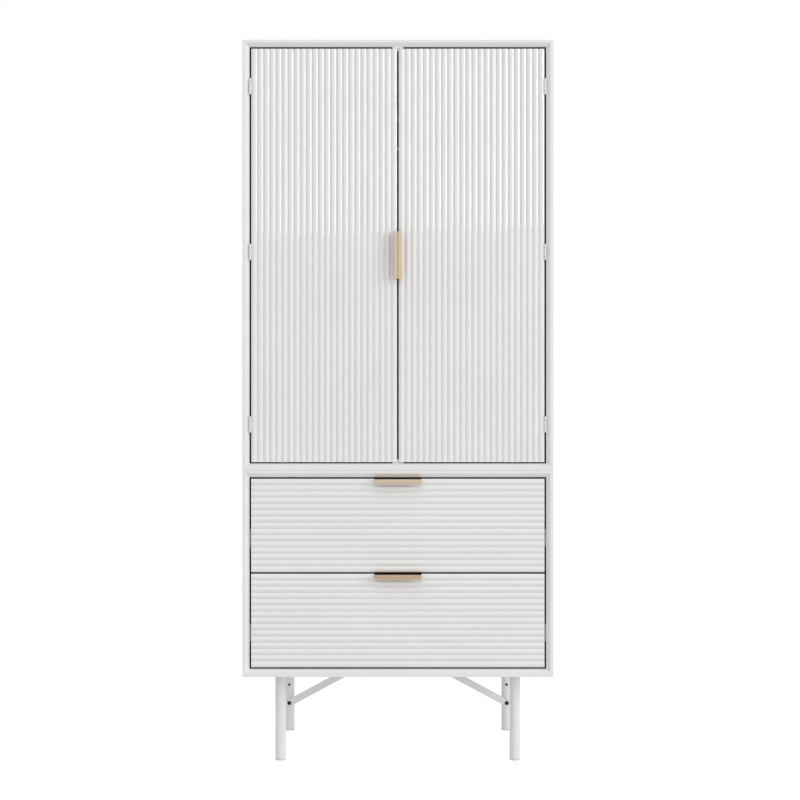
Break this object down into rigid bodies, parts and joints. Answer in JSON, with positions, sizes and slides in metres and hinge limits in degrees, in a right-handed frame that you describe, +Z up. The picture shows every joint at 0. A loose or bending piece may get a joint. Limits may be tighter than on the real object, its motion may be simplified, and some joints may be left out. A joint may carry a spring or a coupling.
{
  "type": "armoire",
  "caption": "Tall white armoire with reeded inset doors over reeded drawers, brass edge pulls and a tubular leg frame.",
  "frame": {"origin": "on the floor, under the middle of the whole object's plan, handles included", "axes": "+X to the right seen from the front, +Y from the doors towards the back, +Z up"},
  "size_m": [0.8, 0.516, 1.864],
  "materials": {
    "white_lacquer": "satin white lacquer on fibreboard",
    "white_board": "matt white melamine",
    "white_steel": "satin white powder coat",
    "black_steel": "black oxide",
    "brass": "satin champagne brass",
    "zinc_steel": "bright zinc",
    "polished_steel": "polished",
    "white_plastic": "smooth moulded",
    "glide_plastic": "matt moulded",
    "beech": "bare"
  },
  "bodies": {
    "carcass": {"upper_top_panel": "white_lacquer", "upper_left_side": "white_lacquer", "upper_right_side": "white_lacquer", "upper_bottom_panel": "white_lacquer", "lower_top_panel": "white_lacquer", "lower_left_side": "white_lacquer", "lower_right_side": "white_lacquer", "lower_bottom_panel": "white_lacquer", "upper_back_panel": "white_board", "lower_back_panel": "white_board", "wardrobe_shelf": "white_board", "wall_fixing_rail": "white_board", "hanging_rail": "polished_steel", "rail_sockets": "polished_steel", "shelf_pins": "zinc_steel", "catch_magnets": "zinc_steel", "runner_cabinet_members": "zinc_steel", "carcass_wood_screws": "zinc_steel", "leg_insert_nuts": "zinc_steel", "module_joining_bolts": "zinc_steel", "catch_housings": "white_plastic", "foot_glides": "glide_plastic", "frame_hinge_leaves": "white_steel", "hinge_pins": "white_steel", "leg_front_left": "white_steel", "leg_front_right": "white_steel", "leg_rear_left": "white_steel", "leg_rear_right": "white_steel", "brace_left": "white_steel", "brace_right": "white_steel", "brace_bolts": "black_steel", "carcass_dowels": "beech"},
    "left_door": {"left_door_panel": "white_lacquer", "left_door_handle": "brass", "left_door_hinge_leaves": "white_steel", "left_door_strike_plates": "zinc_steel", "left_door_screws": "zinc_steel"},
    "right_door": {"right_door_panel": "white_lacquer", "right_door_handle": "brass", "right_door_hinge_leaves": "white_steel", "right_door_strike_plates": "zinc_steel", "right_door_screws": "zinc_steel"},
    "upper_drawer": {"upper_drawer_front": "white_lacquer", "upper_drawer_left_side": "white_board", "upper_drawer_right_side": "white_board", "upper_drawer_back": "white_board", "upper_drawer_bottom": "white_board", "upper_drawer_handle": "brass", "upper_drawer_runner_members": "zinc_steel", "upper_drawer_screws": "zinc_steel"},
    "upper_runner_middles": {"upper_runner_middle_members": "zinc_steel"},
    "lower_drawer": {"lower_drawer_front": "white_lacquer", "lower_drawer_left_side": "white_board", "lower_drawer_right_side": "white_board", "lower_drawer_back": "white_board", "lower_drawer_bottom": "white_board", "lower_drawer_handle": "brass", "lower_drawer_runner_members": "zinc_steel", "lower_drawer_screws": "zinc_steel"},
    "lower_runner_middles": {"lower_runner_middle_members": "zinc_steel"}
  },
  "joints": [
    {"name": "left_door_swing", "type": "hinge", "parent": "carcass", "child": "left_door", "pos_m": [-0.37975, -0.2372, 1.30945], "axis": [0, 0, -1], "range_deg": [0, 140]},
    {"name": "right_door_swing", "type": "hinge", "parent": "carcass", "child": "right_door", "pos_m": [0.37975, -0.2372, 1.30945], "axis": [0, 0, 1], "range_deg": [0, 140]},
    {"name": "upper_drawer_slide", "type": "slide", "parent": "carcass", "child": "upper_drawer", "axis": [0, -1, 0], "range_m": [0, 0.4]},
    {"name": "upper_runner_slide", "type": "slide", "parent": "carcass", "child": "upper_runner_middles", "axis": [0, -1, 0], "range_m": [0, 0.2]},
    {"name": "lower_drawer_slide", "type": "slide", "parent": "carcass", "child": "lower_drawer", "axis": [0, -1, 0], "range_m": [0, 0.4]},
    {"name": "lower_runner_slide", "type": "slide", "parent": "carcass", "child": "lower_runner_middles", "axis": [0, -1, 0], "range_m": [0, 0.2]}
  ],
  "couplings": [
    {"joint": "upper_runner_slide", "follows": "upper_drawer_slide", "ratio": 0.5},
    {"joint": "lower_runner_slide", "follows": "lower_drawer_slide", "ratio": 0.5}
  ]
}
